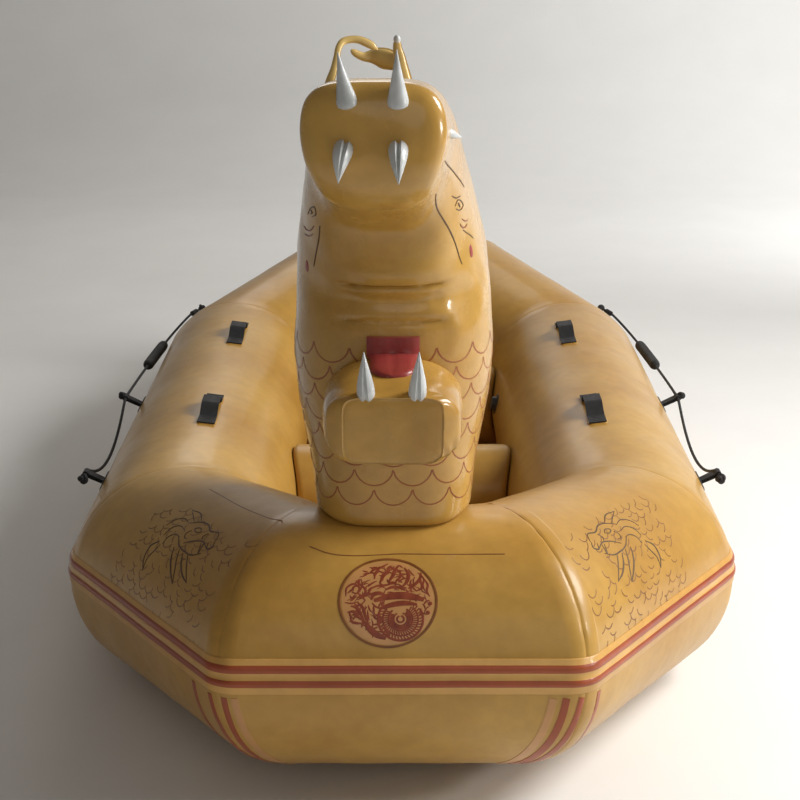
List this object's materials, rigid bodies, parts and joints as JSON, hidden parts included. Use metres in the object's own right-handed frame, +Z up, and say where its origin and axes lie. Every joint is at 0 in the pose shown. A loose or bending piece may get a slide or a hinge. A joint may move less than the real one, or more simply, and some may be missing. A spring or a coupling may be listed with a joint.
{
  "type": "inflatable dragon boat",
  "caption": "Inflatable raft with a ring of air tubes, a floor, cross seats, lifelines and a dragon's head and tail standing on its ends.",
  "frame": {"origin": "middle of the flat underside of the floor, on the ground the boat stands on", "axes": "+X to port, +Y from bow to stern, +Z up; the dragon looks along -Y"},
  "size_m": [1.6222, 3.1485, 1.5501],
  "materials": {
    "yellow_pvc": "glossy welded PVC sheet, golden yellow",
    "floor_pvc": "satin PVC sheet, golden yellow",
    "red_pvc": "glossy PVC sheet, brick red",
    "stripe_pvc": "PVC rub strip, yellow with red stripes",
    "spike_plastic": "pale grey moulded PVC",
    "webbing": "black woven webbing",
    "line": "black braided line",
    "valve_plastic": "black moulded plastic"
  },
  "bodies": {
    "root": {"bow_tube": "yellow_pvc", "bow_quarter_tube_port": "yellow_pvc", "bow_quarter_tube_starboard": "yellow_pvc", "side_tube_port": "yellow_pvc", "side_tube_starboard": "yellow_pvc", "stern_quarter_tube_port": "yellow_pvc", "stern_quarter_tube_starboard": "yellow_pvc", "stern_tube": "yellow_pvc", "rub_strake": "stripe_pvc", "air_floor": "floor_pvc", "thwart_front": "yellow_pvc", "thwart_rear": "yellow_pvc", "bow_pedestal": "yellow_pvc", "dragon_neck": "yellow_pvc", "dragon_head": "yellow_pvc", "lower_jaw": "yellow_pvc", "tongue": "red_pvc", "nose_spike_port": "spike_plastic", "nose_spike_starboard": "spike_plastic", "upper_fang_port": "spike_plastic", "upper_fang_starboard": "spike_plastic", "cheek_spike_port": "spike_plastic", "cheek_spike_starboard": "spike_plastic", "lower_fang_port": "spike_plastic", "lower_fang_starboard": "spike_plastic", "antler_port": "yellow_pvc", "antler_starboard": "yellow_pvc", "dragon_tail": "yellow_pvc", "carry_handle_port_front": "webbing", "carry_handle_port_rear": "webbing", "carry_handle_starboard_front": "webbing", "carry_handle_starboard_rear": "webbing", "line_anchor_port_bow": "webbing", "line_anchor_port_middle": "webbing", "line_anchor_port_stern": "webbing", "line_anchor_starboard_bow": "webbing", "line_anchor_starboard_middle": "webbing", "line_anchor_starboard_stern": "webbing", "lifeline_port": "line", "lifeline_starboard": "line", "lifeline_grip_port": "webbing", "lifeline_grip_starboard": "webbing", "line_knot_port_bow": "line", "line_knot_port_stern": "line", "line_knot_starboard_bow": "line", "line_knot_starboard_stern": "line", "valve_bow": "valve_plastic", "valve_stern": "valve_plastic", "valve_side_port": "valve_plastic", "valve_side_starboard": "valve_plastic", "valve_floor": "valve_plastic", "valve_neck": "valve_plastic"}
  },
  "joints": []
}
